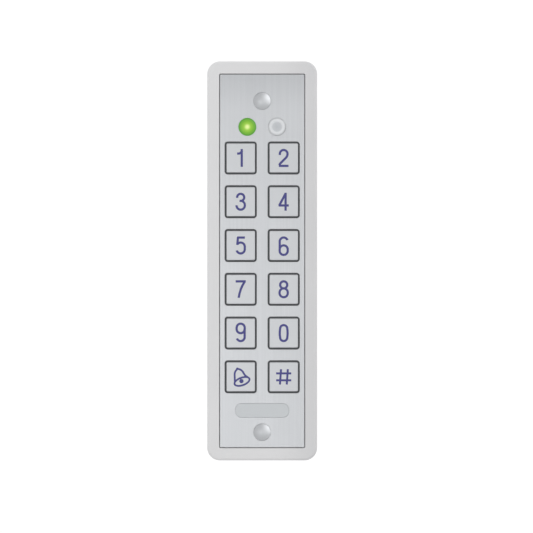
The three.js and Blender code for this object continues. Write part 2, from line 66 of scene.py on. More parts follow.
# pieces are drawn flat on the bench in millimetres: x right, y up the reader, z out of the wall
stand = Matrix.Rotation(radians(90), 4, "X") @ Matrix.Scale(0.001, 4)
keyNames = ["1", "2", "3", "4", "5", "6", "7", "8", "9", "0", "bell", "hash"]
ends, sides = ("top", "bottom"), ("left", "right")
keyNodes = [f"key_{name}" for name in keyNames]
capNodes = [f"screw_cap_{end}" for end in ends]
lensNodes = [f"status_lens_{side}" for side in sides]
boardScrews = range(1, 5)
boardScrewNodes = [f"board_screw_{index}" for index in boardScrews]
past = 1  # how far a cutting shape runs past what it cuts
merge, penMerge = 1e-4, 1e-3  # points closer than this become one
crease = 0.5  # the least angle, in radians, that makes an edge one to round


# ---- the bench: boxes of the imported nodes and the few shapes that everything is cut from


def benchBox(node):
    low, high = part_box(node)
    return Vector((low.x, low.z, -high.y)) * 1000, Vector((high.x, high.z, -low.y)) * 1000


def placeOf(node):
    # low corner, high corner, size and centre
    low, high = benchBox(node)
    return low, high, high - low, (low + high) / 2


def centreOf(node):
    return placeOf(node)[3]


def axisOf(node):
    # of a turned piece: bottom, top, radius and centre
    low, high, _, centre = placeOf(node)
    return low.z, high.z, (high.x - low.x) / 2, centre


def block(size, low, high, corner=0.0, place=(0, 0), steps=8, front=0.0, back=0.0, edgeSteps=3):
    bm = bmesh.new()
    bmesh.ops.create_cube(bm, size=1)
    bmesh.ops.scale(bm, vec=(size[0], size[1], high - low), verts=bm.verts)
    moved(bm, (place[0], place[1], (low + high) / 2))
    if corner:
        upright = [e for e in bm.edges if abs(e.verts[0].co.z - e.verts[1].co.z) > (high - low) / 2]
        roundEdges(bm, upright, corner, steps)
    if front:
        roundEdges(bm, edgesAt(bm, high), front, edgeSteps)
    if back:
        roundEdges(bm, edgesAt(bm, low), back, edgeSteps)
    return bm


def edgesAt(bm, z, width=inf):
    # creased edges at one height, within width of the middle line
    flat = [e for e in bm.edges if all(abs(v.co.z - z) < merge and abs(v.co.x) < width for v in e.verts)]
    return [e for e in flat if len(e.link_faces) == 2 and e.calc_face_angle(0) > crease]


def roundEdges(bm, edges, radius, steps=3):
    bmesh.ops.bevel(bm, geom=edges, offset=radius, offset_type="OFFSET", affect="EDGES", segments=steps,
                    profile=0.5, material=-1, clamp_overlap=True)


def moved(bm, step):
    bmesh.ops.translate(bm, vec=step, verts=bm.verts)


def closed(bm):
    # merges where a spin or a hoop comes round to its start, and turns the faces outwards
    bmesh.ops.remove_doubles(bm, verts=bm.verts, dist=merge)
    bmesh.ops.recalc_face_normals(bm, faces=bm.faces)


def meshOf(name, bm):
    mesh = bpy.data.meshes.new(name)
    bm.to_mesh(mesh)
    bm.free()
    return mesh


def inset(size, by):
    # a rectangle of this size with each side brought in
    return size[0] - 2 * by, size[1] - 2 * by


def turned(profile, place=(0, 0), steps=64):
    # profile: (radius, height) points, from the axis back to it or round to the first again
    bm = bmesh.new()
    points = [bm.verts.new((r, 0, z)) for r, z in profile]
    edges = [bm.edges.new(pair) for pair in zip(points, points[1:])]
    bmesh.ops.spin(bm, geom=points + edges, cent=(0, 0, 0), axis=(0, 0, 1), angle=2 * pi, steps=steps,
                   use_merge=True)
    closed(bm)
    moved(bm, (place[0], place[1], 0))
    return bm


def rod(radius, low, high, place=(0, 0), steps=48, front=0.0):
    bm = bmesh.new()
    bmesh.ops.create_cone(bm, cap_ends=True, segments=steps, radius1=radius, radius2=radius, depth=high - low)
    moved(bm, (place[0], place[1], (low + high) / 2))
    if front:
        roundEdges(bm, edgesAt(bm, high), front)
    return bm


def turnedBy(bm, degrees, axis):
    bmesh.ops.rotate(bm, cent=(0, 0, 0), matrix=Matrix.Rotation(radians(degrees), 3, axis), verts=bm.verts)


def rodsAt(nodes, radius, low, high, steps=48):
    return [rod(radius, low, high, centreOf(node), steps) for node in nodes]


def only(kind, parts):
    return [part for part in parts if isinstance(part, kind)]


def carried(bm, section, tip, heading, moves, turnStep=6):
    # carries a section of edges along runs and turns; a turn is (radius, degrees), positive to the left
    angle = radians(heading)
    for move in moves:
        if isinstance(move, tuple):
            radius, degrees = move
            left = 1 if degrees > 0 else -1
            centre = tip + Vector((-sin(angle), cos(angle), 0)) * radius * left
            turn = bmesh.ops.spin(bm, geom=section, cent=centre, axis=(0, 0, 1), angle=radians(degrees),
                                  steps=max(2, round(abs(degrees) / turnStep)))
            section = only(BMEdge, turn["geom_last"])
            angle += radians(degrees)
            tip = centre - Vector((-sin(angle), cos(angle), 0)) * radius * left
        else:
            step = Vector((cos(angle), sin(angle), 0)) * move
            run = bmesh.ops.extrude_edge_only(bm, edges=section)["geom"]
            section = only(BMEdge, run)
            bmesh.ops.translate(bm, vec=step, verts=only(BMVert, run))
            tip += step


def hoop(size, corner, profile, place=(0, 0), turnStep=11.25):
    # a closed profile of (inward, height) points carried round a rectangle with round corners
    bm = bmesh.new()
    right = place[0] + size[0] / 2
    points = [bm.verts.new((right - inward, place[1], z)) for inward, z in profile]
    section = [bm.edges.new(pair) for pair in zip(points, points[1:] + points[:1])]
    half, across, turn = size[1] / 2 - corner, size[0] - 2 * corner, (corner, 90)
    carried(bm, section, Vector((right, place[1], 0)), 90,
            [half, turn, across, turn, 2 * half, turn, across, turn, half], turnStep)
    closed(bm)
    return bm


def gathered(parts):
    bm = bmesh.new()
    for part in parts:
        mesh = meshOf("part", part)
        bm.from_mesh(mesh)
        bpy.data.meshes.remove(mesh)
    return bm


def worked(bm, parts, operation):
    # joins the parts to the work or cuts them from it, with the Boolean modifier
    pair = []
    for name, shape in (("work", bm), ("tool", gathered(parts))):
        pair.append(bpy.data.objects.new(name, meshOf(name, shape)))
        scene.collection.objects.link(pair[-1])
    work, tool = pair
    step = work.modifiers.new("step", "BOOLEAN")
    step.operation = operation
    step.solver = "EXACT"
    step.use_self = True
    step.object = tool
    evaluated = work.evaluated_get(bpy.context.evaluated_depsgraph_get())
    result = bmesh.new()
    result.from_mesh(evaluated.to_mesh())
    evaluated.to_mesh_clear()
    for helper in pair:
        mesh = helper.data
        bpy.data.objects.remove(helper)
        bpy.data.meshes.remove(mesh)
    bmesh.ops.dissolve_limit(result, angle_limit=radians(0.5), verts=result.verts, edges=result.edges)
    return result


def cut(bm, parts):
    return worked(bm, parts, "DIFFERENCE")


def joined(bm, parts):
    return worked(bm, parts, "UNION")


def finished(name, bm, look, nodes=(), body="reader", sharp=32):
    material, slot = finish[look]
    bmesh.ops.transform(bm, matrix=stand, verts=bm.verts)
    mesh = meshOf(name, bm)
    mesh.materials.append(material)
    mesh.polygons.foreach_set("use_smooth", [True] * len(mesh.polygons))
    mesh.set_sharp_from_angle(angle=radians(sharp))
    piece = bpy.data.objects.new(name, mesh)
    scene.collection.objects.link(piece)
    piece.modifiers.new("weightedNormals", "WEIGHTED_NORMAL").keep_sharp = True
    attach(piece, body)
    if nodes:
        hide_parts(*nodes)
    return piece


def turnedPiece(name, node, profile, look, steps=64, sharp=32):
    finished(name, turned(profile, centreOf(node), steps), look, [node], sharp=sharp)


def tinned(name, parts):
    finished(name, gathered(parts), "tinnedMetal")


def dress(mesh, look):
    mesh.materials.clear()
    mesh.materials.append(finish[look][0])


# ---- finishes


class Wire:
    # an output socket in a material: sums and products of wires add their Math nodes
    def __init__(self, tree, socket=None):
        self.tree = tree
        self.socket = socket

    def node(self, kind, settings=None, inputs=None, output=0):
        made = self.tree.nodes.new(kind)
        for name, value in (settings or {}).items():
            if name == "stops":
                ramp = made.color_ramp.elements
                while len(ramp) < len(value):
                    ramp.new(1)
                for stop, (position, colour) in zip(ramp, value):
                    stop.position = position
                    stop.color = (*colour, 1)
            else:
                setattr(made, name, value)
        for name, value in (inputs or {}).items():
            if isinstance(value, Wire):
                self.tree.links.new(value.socket, made.inputs[name])
            else:
                made.inputs[name].default_value = value
        return Wire(self.tree, made.outputs[output])

    def sum(self, operation, first, second):
        return self.node("ShaderNodeMath", {"operation": operation}, {0: first, 1: second})

    def __add__(self, other):
        return self.sum("ADD", self, other)

    def __sub__(self, other):
        return self.sum("SUBTRACT", self, other)

    def __rsub__(self, other):
        return self.sum("SUBTRACT", other, self)

    def __mul__(self, other):
        return self.sum("MULTIPLY", self, other)

    __radd__ = __add__
    __rmul__ = __mul__


def shade(name, values, wires=None, bump=None):
    # values are the shader's uniform sockets; wires makes the ones that vary over the surface
    material = bpy.data.materials.new(name)
    material.use_nodes = True
    tree = material.node_tree
    shader = tree.nodes["Principled BSDF"]
    for socket, value in values.items():
        shader.inputs[socket].default_value = value
    spot = Wire(tree)
    place = spot.node("ShaderNodeTexCoord", output="Object")
    made = wires(spot, place) if wires else {}
    height = made.pop("height", None)
    if height is not None:
        made["Normal"] = spot.node("ShaderNodeBump", None, {
            "Strength": bump[0], "Distance": bump[1], "Height": height}, output="Normal")
    for socket, wire in made.items():
        tree.links.new(wire.socket, shader.inputs[socket])
    material.diffuse_color = values.get("Base Color", (0.5, 0.5, 0.5, 1))
    return material


def grain(spot, place, scale, detail=3.0, rough=0.55):
    # noise whose cells are 1 / scale metres along each axis
    stretched = spot.node("ShaderNodeMapping", None, {"Vector": place, "Scale": scale})
    return spot.node("ShaderNodeTexNoise", None, {
        "Vector": stretched, "Scale": 1.0, "Detail": detail, "Roughness": rough}, output="Fac")


def tinted(spot, amount, dark, light):
    mixed = {0: amount, 6: (*dark, 1), 7: (*light, 1)}  # factor and the two colours
    return spot.node("ShaderNodeMix", {"data_type": "RGBA"}, mixed, output=2)


def coat(spot, look, lightness, roughness, height):
    return {
        "Base Color": tinted(spot, lightness, look["dark"], look["light"]),
        "Roughness": roughness * look["roughSpread"] + look["rough"],
        "height": height,
    }


def eased(spot, value, start, end, height):
    # rises softly from nothing at start to height at end
    return spot.node("ShaderNodeMapRange", {"interpolation_type": "SMOOTHSTEP"}, {
        "Value": value, "From Min": start, "From Max": end, "To Max": height}, output="Result")


def ramped(spot, amount, stops):
    return spot.node("ShaderNodeValToRGB", {"stops": stops}, {"Fac": amount}, output="Color")


paint = {"dark": (0.66, 0.66, 0.67), "light": (0.785, 0.785, 0.792), "rough": 0.46, "roughSpread": 0.08,
         "peel": 900, "cloud": 45, "cloudShare": 0.3, "paintedShade": 0.6, "paintedShadeFrom": 0.004, "paintedShadeTo": 0.021}


def housingPaint():
    def wires(spot, place):
        cloud = grain(spot, place, (paint["cloud"],) * 3, 2)
        # painted shade: the coat's colour is made a little darker towards the right edge, where less light
        # falls
        sideways = spot.node("ShaderNodeSeparateXYZ", None, {"Vector": place}, output="X")
        rightShadePainted = eased(spot, sideways, paint["paintedShadeFrom"], paint["paintedShadeTo"], paint["paintedShade"])
        lightness = 1 - cloud * paint["cloudShare"] - rightShadePainted
        return coat(spot, paint, lightness, cloud, grain(spot, place, (paint["peel"],) * 3, 2))
    return shade("housingPaint", {"Metallic": 0.1, "Specular IOR Level": 0.4}, wires, (0.12, 0.00004))


brushed = {"dark": (0.545, 0.56, 0.58), "light": (0.735, 0.75, 0.77), "rough": 0.26, "roughSpread": 0.16,
           "hair": (5200, 5200, 26), "strand": (1300, 1300, 9), "cloud": (52, 52, 15), "topShade": 0.38,
           "shadeDepth": 0.016, "shadePast": 0.002}


def brushedSteel(topEdge):
    def wires(spot, place):
        hair = grain(spot, place, brushed["hair"], 3, 0.65)
        strand = grain(spot, place, brushed["strand"], 2)
        cloud = grain(spot, place, brushed["cloud"], 2)
        height = spot.node("ShaderNodeSeparateXYZ", None, {"Vector": place}, output="Z")
        # painted shade: the plate's colour darkens in a band below its top edge, standing in for the dimmer
        # reflection there
        paintedTopShadeBand = eased(spot, height, topEdge - brushed["shadeDepth"], topEdge + brushed["shadePast"],
                     brushed["topShade"])
        lines = hair * 0.34 + strand * 0.33 + cloud * 0.33
        return coat(spot, brushed, lines - paintedTopShadeBand, hair, hair * 0.6 + strand * 0.4)
    return shade("brushedSteel", {"Metallic": 1.0}, wires, (0.16, 0.00003))


satin = {"dark": (0.61, 0.625, 0.645), "light": (0.67, 0.685, 0.705), "cloud": 160}


def satinSteel(name="satinSteel", grit=7000.0, rough=0.38):
    def wires(spot, place):
        speck = grain(spot, place, (grit,) * 3, 2)
        cloud = grain(spot, place, (satin["cloud"],) * 3, 2)
        mixed = speck * 0.5 + cloud * 0.5
        return {
            "Base Color": tinted(spot, mixed, satin["dark"], satin["light"]),
            "Roughness": mixed * 0.1 + (rough - 0.05),
            "height": speck,
        }
    return shade(name, {"Metallic": 1.0}, wires, (0.1, 0.00002))


def moulded(name, dark, light, rough=0.5, pitch=2600.0, bump=0.25):
    # moulded plastic or rubber with a spark-eroded skin
    def wires(spot, place):
        skin = grain(spot, place, (pitch,) * 3, 2)
        cloud = grain(spot, place, (120,) * 3, 2)
        return {
            "Base Color": tinted(spot, cloud, dark, light),
            "Roughness": skin * 0.2 + (rough - 0.1),
            "height": skin,
        }
    return shade(name, {}, wires, (bump, 0.00003))


def metal(name, dark, light, rough=0.3, pitch=1800.0):
    def wires(spot, place):
        scratch = grain(spot, place, (pitch, pitch, pitch / 6), 3)
        return {
            "Base Color": tinted(spot, scratch, dark, light),
            "Roughness": scratch * 0.25 + (rough - 0.12),
            "height": scratch,
        }
    return shade(name, {"Metallic": 1.0}, wires, (0.15, 0.00002))


laminate = {"dark": (0.008, 0.075, 0.032), "light": (0.018, 0.14, 0.06), "rough": 0.26,
            "roughSpread": 0.12, "cloud": 80, "weave": 260.0}


def boardLaminate():
    # solder mask over glass cloth: the weave shows faintly through the green
    def wires(spot, place):
        cloud = grain(spot, place, (laminate["cloud"],) * 3, 3)
        waves = {"Vector": place, "Scale": laminate["weave"], "Distortion": 1.5, "Detail": 1.0}
        across, up = (spot.node("ShaderNodeTexWave", {"bands_direction": axis}, waves, output="Fac")
                      for axis in "XZ")
        weave = across * up
        return coat(spot, laminate, cloud * 0.6 + weave * 0.4, cloud, weave)
    return shade("boardLaminate", {"Coat Weight": 0.3}, wires, (0.15, 0.00003))


glow = {
    "stops": [
        (0.0, (0.95, 1.0, 0.46)),
        (0.16, (0.80, 0.95, 0.33)),
        (0.38, (0.34, 0.62, 0.06)),
        (0.70, (0.19, 0.46, 0.03)),
        (0.95, (0.10, 0.33, 0.04)),
    ],
    "strength": 0.88,
}


def fromAxis(spot, place, centre, radius):
    # how far out from the axis of a lens, as a share of its radius
    apart = spot.node("ShaderNodeMapping", None, {
        "Vector": place, "Location": (-centre[0] / 1000, 0, -centre[1] / 1000)})
    flat = spot.node("ShaderNodeVectorMath", {"operation": "MULTIPLY"}, {0: apart, 1: (1, 0, 1)})
    reach = spot.node("ShaderNodeVectorMath", {"operation": "LENGTH"}, {0: flat}, output="Value")
    return reach * (1000 / radius)


def litLens(centre, radius):
    def wires(spot, place):
        return {"Emission Color": ramped(spot, fromAxis(spot, place, centre, radius), glow["stops"])}
    return shade("litLens", {
        "Base Color": (0.02, 0.06, 0.008, 1), "Emission Strength": glow["strength"], "Roughness": 0.3,
        "Specular IOR Level": 0.35}, wires)


# colours of the unlit lens from its axis out: grey in the middle, where the unlit lamp shows through, then a
# painted highlight, a light ring over the raised bead, then a little darker to the rim
dull = {
    "stops": [
        (0.0, (0.54, 0.565, 0.59)),
        (0.50, (0.60, 0.62, 0.645)),
        (0.63, (0.79, 0.81, 0.83)),
        (0.78, (0.79, 0.81, 0.83)),
        (0.90, (0.66, 0.675, 0.69)),
        (1.0, (0.64, 0.655, 0.67)),
    ],
    "frost": 1500,
    "rough": 0.25,
    "roughSpread": 0.2,
}


def unlitLens(centre, radius):
    def wires(spot, place):
        frost = grain(spot, place, (dull["frost"],) * 3, 2)
        return {
            # painted highlight: the ring over the bead is lighter in colour
            "Base Color": ramped(spot, fromAxis(spot, place, centre, radius), dull["stops"]),
            "Roughness": frost * dull["roughSpread"] + dull["rough"],
            "height": frost,
        }
    return shade("unlitLens", {"Specular IOR Level": 0.4}, wires, (0.08, 0.00003))


# of each finish: its slot, dark, light, roughness, then grain and bump where they are not the usual ones
plastics = {
    "collarPlastic": ("black_moulding", (0.072, 0.076, 0.082), (0.086, 0.09, 0.097), 0.6),
    "legendInk": ("legend_ink", (0.057, 0.057, 0.23), (0.067, 0.067, 0.26), 0.5, 1500, 0.02),
    "labelFilm": ("label_film", (0.61, 0.636, 0.655), (0.63, 0.656, 0.675), 0.55, 1500, 0.03),
    "baseMoulding": ("base_moulding", (0.03, 0.032, 0.035), (0.045, 0.047, 0.05), 0.6),
    "softRubber": ("rubber", (0.02, 0.021, 0.023), (0.03, 0.032, 0.034), 0.75),
    "chipResin": ("chip", (0.011, 0.012, 0.013), (0.02, 0.021, 0.023), 0.55, 3000),
    "lampResin": ("lamp", (0.70, 0.70, 0.62), (0.80, 0.80, 0.72), 0.35, 2000, 0.08),
    "foamTape": ("tape", (0.76, 0.76, 0.72), (0.84, 0.84, 0.80), 0.85, 4000, 0.3),
    "matSilicone": ("silicone", (0.44, 0.45, 0.48), (0.50, 0.51, 0.54), 0.7, 2000, 0.12),
    "maskedTrace": ("board_laminate", (0.022, 0.16, 0.07), (0.03, 0.19, 0.085), 0.34, 2600, 0.05),
    "whiteNylon": ("nylon", (0.74, 0.72, 0.66), (0.82, 0.80, 0.74), 0.5, 2000, 0.1),
    "buzzerPlastic": ("buzzer_plastic", (0.02, 0.021, 0.023), (0.034, 0.035, 0.038), 0.45, 2600, 0.12),
    "floorPaper": ("floor", (0.69, 0.69, 0.69), (0.73, 0.73, 0.73), 0.8, 300, 0.02),
}
metals = {
    "tinnedMetal": ("tinned", (0.60, 0.61, 0.62), (0.74, 0.75, 0.76), 0.3),
    "screwSteel": ("screw_steel", (0.50, 0.51, 0.53), (0.66, 0.67, 0.69), 0.33),
    "capacitorCan": ("tinned", (0.66, 0.67, 0.68), (0.78, 0.79, 0.80), 0.3, 1400),
    "coilCopper": ("coil_wire", (0.42, 0.17, 0.07), (0.62, 0.28, 0.12), 0.3, 2400),
    "insertBrass": ("insert_brass", (0.60, 0.42, 0.14), (0.75, 0.55, 0.22), 0.32),
}
finish = {name: (moulded(name, *values), slot) for name, (slot, *values) in plastics.items()}
finish.update({name: (metal(name, *values), slot) for name, (slot, *values) in metals.items()})
finish["housingPaint"] = housingPaint(), "housing_paint"
finish["brushedSteel"] = brushedSteel(benchBox("face_plate")[1].y / 1000), "brushed_plate"
finish["satinSteel"] = satinSteel(), "key_metal"
finish["capSteel"] = satinSteel("capSteel", 5000.0, 0.46), "cap_metal"
finish["boardLaminate"] = boardLaminate(), "board_laminate"
print("finishes ready")


# ---- painted shell

shell = {"wall": 2.2, "corner": 5.0, "edge": 1.0, "backEdge": 0.25, "hollowEdge": 0.8, "hollowLow": -2,
         "ledge": 2.0, "reveal": 0.32, "plateCorner": 0.3, "rimEdge": 0.12, "tapePlay": 0.05, "boss": 4.4,
         "bossLow": 8.6, "boardBoss": 2.8, "counterbore": 3.2, "headRoom": 2.4, "screwHole": 1.8,
         "holeSpan": (7, 20), "windowInset": 1.3, "windowCorner": 1.0, "lensPlay": 0.15, "lensSeat": 1.1,
         "lensHole": 2.6}


def recessFloor():
    return benchBox("plate_tape")[0].z - shell["tapePlay"]


def frontHousing():
    low, high, size, _ = placeOf("front_housing")
    _, plateHigh, plate, _ = placeOf("face_plate")
    floor = recessFloor()
    inside = floor - shell["ledge"]
    bm = block(size, low.z, high.z, shell["corner"], steps=14, front=shell["edge"], back=shell["backEdge"],
               edgeSteps=5)
    wall, corner, reveal = shell["wall"], shell["corner"], shell["reveal"]
    bm = cut(bm, [block(inset(size, wall), shell["hollowLow"], inside, corner - wall, steps=10,
                        front=shell["hollowEdge"])])
    root, boardFront = floor - 0.3, benchBox("circuit_board")[1].z
    bosses = rodsAt(capNodes, shell["boss"], shell["bossLow"], root)
    bm = joined(bm, bosses + rodsAt(boardScrewNodes, shell["boardBoss"], boardFront + 0.1, root, 32))
    bm = cut(bm, [block(inset(plate, -reveal), floor, high.z + past, shell["plateCorner"] + reveal, steps=6)])
    roundEdges(bm, edgesAt(bm, high.z, plateHigh.x + 1), shell["rimEdge"], 2)
    _, _, window, middle = placeOf("key_frame")
    tools = [block(inset(window, shell["windowInset"]), inside - past, floor + past, shell["windowCorner"],
                   middle, steps=5)]
    for node in lensNodes:
        radius = (benchBox(node)[1].x - centreOf(node).x) + shell["lensPlay"]
        tools += rodsAt([node], radius, floor - shell["lensSeat"], floor + past)
    bm = cut(bm, tools)
    tools = rodsAt(lensNodes, shell["lensHole"], inside - past, floor + past)
    for node in capNodes:
        tools += rodsAt([node], shell["counterbore"], benchBox(node)[0].z - shell["headRoom"], floor + past)
    bm = cut(bm, tools)
    bm = cut(bm, rodsAt(capNodes, shell["screwHole"], *shell["holeSpan"], 32))
    finished("frontHousing", bm, "housingPaint", ["front_housing"])


# ---- face plate

plateCuts = {"corner": 0.3, "keyPlay": 0.70, "keyCorner": 1.2, "lensHole": 3.49, "capHole": 3.39,
             "edge": 0.12, "pocketPlay": 0.05, "pocketCorner": 2.4}
keyShape = {"size": (11.12, 11.42), "corner": 0.5, "edge": 0.22, "foot": 0.9, "footSpan": (1.5, 2.5),
            "skin": 1.4, "side": 0.95, "roomCorner": 0.5, "roomEdge": 0.3, "plunger": (5, 5),
            "plungerCorner": 0.6, "plungerEdge": 0.25, "plungerRoot": 0.3}


def facePlate():
    low, high, size, _ = placeOf("face_plate")
    bm = block(size, low.z, high.z, plateCuts["corner"], steps=4)
    under, over = low.z - past, high.z + past
    opening = inset(keyShape["size"], -plateCuts["keyPlay"])
    tools = [block(opening, under, over, plateCuts["keyCorner"], centreOf(node), 8) for node in keyNodes]
    tools += rodsAt(lensNodes, plateCuts["lensHole"], under, over, 64)
    tools += rodsAt(capNodes, plateCuts["capHole"], under, over, 64)
    play = plateCuts["pocketPlay"]
    labelLow, _, pocket, middle = placeOf("label_inlay")
    tools.append(block(inset(pocket, -play), labelLow.z - play, over, plateCuts["pocketCorner"], middle, 10))
    bm = cut(bm, tools)
    roundEdges(bm, edgesAt(bm, high.z), plateCuts["edge"], 2)
    finished("facePlate", bm, "brushedSteel", ["face_plate"])


# ---- black frame with a collar round each key

collar = {"play": 0.1, "wall": 0.5, "corner": 1.1, "edge": 0.12, "plateGap": 0.2, "ledgeGap": 0.1,
          "flangeCorner": 1.0, "plugInset": 1.45, "plugCorner": 0.85, "root": 0.5, "rim": 1.2, "roof": 1.2,
          "rimCorner": 0.5, "boreDepth": 2, "pocketPlay": 0.3, "pocketRoof": 1.0, "pocketCorner": 0.6}


def keyFrame():
    low, high, size, middle = placeOf("key_frame")
    plugHigh = benchBox("face_plate")[0].z - collar["plateGap"]
    flangeHigh = recessFloor() - shell["ledge"] - collar["ledgeGap"]
    bm = block(size, low.z, flangeHigh, collar["flangeCorner"], middle, 4)
    bm = joined(bm, [block(inset(size, collar["plugInset"]), flangeHigh - collar["root"], plugHigh,
                           collar["plugCorner"], middle, 4)])
    centres = [centreOf(node) for node in keyNodes]
    keySize, play = keyShape["size"], collar["play"]
    outer, bore = inset(keySize, -(play + collar["wall"])), inset(keySize, -play)
    bm = joined(bm, [block(outer, plugHigh - collar["root"], high.z, collar["corner"], centre, 8,
                           front=collar["edge"], edgeSteps=2) for centre in centres])
    roof = flangeHigh - collar["roof"]
    bm = cut(bm, [block(inset(size, collar["rim"]), low.z - past, roof, collar["rimCorner"], middle, 3)])
    bm = cut(bm, [block(bore, flangeHigh - collar["boreDepth"], high.z + past,
                        keyShape["corner"] + play, centre, 6) for centre in centres])
    pocket = (bore[0], keySize[1] + 2 * keyShape["foot"] + collar["pocketPlay"])
    bm = cut(bm, [block(pocket, flangeHigh - collar["boreDepth"], plugHigh - collar["pocketRoof"],
                        collar["pocketCorner"], centre, 3) for centre in centres])
    finished("keyFrame", bm, "collarPlastic", ["key_frame"])


# ---- keys and their legends


def keyCap(name):
    node = f"key_{name}"
    low, high, _, centre = placeOf(node)
    footLow, footHigh = (low.z + level for level in keyShape["footSpan"])
    bm = block(keyShape["size"], footLow, high.z, keyShape["corner"], centre, 6, front=keyShape["edge"],
               edgeSteps=4)
    foot = (keyShape["size"][0], high.y - low.y)
    bm = joined(bm, [block(foot, footLow, footHigh, keyShape["corner"], centre, 6)])
    roof = high.z - keyShape["skin"]
    hollow = inset(keyShape["size"], keyShape["side"])
    bm = cut(bm, [block(hollow, footLow - past, roof, keyShape["roomCorner"], centre, 4,
                        front=keyShape["roomEdge"])])
    bm = joined(bm, [block(keyShape["plunger"], low.z, roof + keyShape["plungerRoot"],
                           keyShape["plungerCorner"], centre, 4, back=keyShape["plungerEdge"])])
    finished(f"keyCap_{name}", bm, "satinSteel", [node], node)


# each stroke of a legend: where the pen starts, its heading in degrees, then runs and turns;
# a turn is (radius, degrees), to the left where the degrees are positive
bowl = [(1.57, 180), 0.56, (1.57, 180), 0.56]
strokes = {
    "1": [((0.42, -3.5), 90, [7.0]), ((-1.4, 1.7), 0, [0.55, (1.3, 62), 0.55])],
    "2": [((-1.5, 1.15), 90, [0.45, (1.5, -180), (2.2, -45), 3.1, (0.9, 45)]), ((-1.9, -3.1), 0, [3.8])],
    "3": [((-1.38, 1.5), 90, [0.2, (1.38, -180), (1.38, -90), 0.45]),
          ((-0.1, 0.34), 0, [0.1, (1.62, -90), 0.2, (1.62, -180), 0.1])],
    "4": [((0.75, -3.5), 90, [7.0]), ((-2.0, -1.45), 0, [4.0]), ((-1.75, -1.5), 62, [5.4])],
    "5": [((-1.35, 3.1), 0, [3.0]), ((-1.05, 3.3), 265, [3.1]),
          ((-1.39, 0.35), 60, [(1.6, -150), 1.05, (1.6, -165)])],
    "6": [((1.57, -1.53), 90, bowl), ((1.46, 2.1), 110, [(1.55, 160), 3.1])],
    "7": [((-1.95, 3.1), 0, [3.95]), ((1.62, 3.1), 236.6, [(15.3, 26)])],
    "8": [((1.38, 1.72), 90, [(1.38, 360)]), ((1.6, -1.5), 90, [0.25, (1.6, 180), 0.25, (1.6, 180)])],
    "9": [((-1.57, 1.53), 270, bowl), ((-1.46, -2.1), 290, [(1.55, 160), 3.1])],
    "0": [((1.54, 0), 90, [(11.24, 10), (1.39, 160), (11.24, 20), (1.39, 160), (11.24, 10)])],
    "hash": [((-1.47, -3.0), 85.8, [6.0]), ((1.19, -3.0), 85.8, [6.0]), ((-2.95, 1.35), 0, [5.9]),
             ((-2.95, -1.35), 0, [5.9])],
    "bell": [((-1.25, 3.05), 215, [(2.6, 57), 2.8]), ((-1.3, 3.1), 0, [(2.6, -60), 1.0, (1.6, 25), 1.1])],
}
bell = {"mouth": (0.53, -1.8), "reach": (3.07, 1.47), "tilt": 20, "clapper": (0.3, -1.66), "ball": 0.84,
        "knob": (-1.3, 3.15), "knobSize": 0.5}
legend = {"digit": 0.9, "hash": 0.82, "bell": 0.74, "thick": 0.05, "sunk": 0.03}


def penStroke(start, heading, moves, width, thick=legend["thick"]):
    bm = bmesh.new()
    side = Vector((-sin(radians(heading)), cos(radians(heading)), 0)) * width / 2
    tip = Vector((*start, 0))
    edge = bm.edges.new((bm.verts.new(tip - side), bm.verts.new(tip + side)))
    carried(bm, [edge], tip, heading, moves)
    return thickened(bm, thick)


def thickened(bm, thick=legend["thick"]):
    bmesh.ops.remove_doubles(bm, verts=bm.verts, dist=penMerge)
    raised = bmesh.ops.extrude_face_region(bm, geom=bm.faces[:])["geom"]
    bmesh.ops.translate(bm, vec=(0, 0, thick), verts=only(BMVert, raised))
    bmesh.ops.recalc_face_normals(bm, faces=bm.faces)
    return bm


def disc(radius, centre):
    bm = bmesh.new()
    bmesh.ops.create_circle(bm, cap_ends=True, segments=32, radius=radius)
    moved(bm, (*centre, 0))
    return thickened(bm)


def bellMouth():
    bm = bmesh.new()
    half = legend["bell"] / 2
    for grow in (half, -half):
        loop = bmesh.ops.create_circle(bm, segments=64, radius=1)["verts"]
        bmesh.ops.scale(bm, vec=(bell["reach"][0] + grow, bell["reach"][1] + grow, 1), verts=loop)
    bmesh.ops.bridge_loops(bm, edges=bm.edges)
    turnedBy(bm, bell["tilt"], "Z")
    moved(bm, (*bell["mouth"], 0))
    return thickened(bm)


def keyLegend(name):
    _, high, _, centre = placeOf(f"key_{name}")
    width = legend.get(name, legend["digit"])
    parts = [penStroke(*stroke, width) for stroke in strokes[name]]
    if name == "bell":
        parts += [bellMouth(), disc(bell["ball"], bell["clapper"]), disc(bell["knobSize"], bell["knob"])]
    bm = parts.pop(0)
    for part in parts:
        bm = joined(bm, [part])
    moved(bm, (centre.x, centre.y, high.z - legend["sunk"]))
    finished(f"keyLegend_{name}", bm, "legendInk", body=f"key_{name}")


# ---- lenses, caps and label

# the face of a lens runs from its rim to its middle, as (radius, height over the plate)
lens = {"radius": 3.45, "stem": 2.4, "flangeRise": 0.1, "flangeDepth": 1.1,
        "face": [(3.45, -0.05), (3.37, 0.05), (3.0, 0.12), (2.85, 0.24), (2.575, 0.34), (2.3, 0.24),
                 (2.2, 0.14), (1.76, 0.16), (1.1, 0.21), (0.55, 0.24), (0, 0.25)]}
cap = {"radius": 3.35, "rise": 1.0, "stem": 3.0, "cone": 0.4, "rings": 12}
label = {"corner": 2.3, "edge": 0.08}


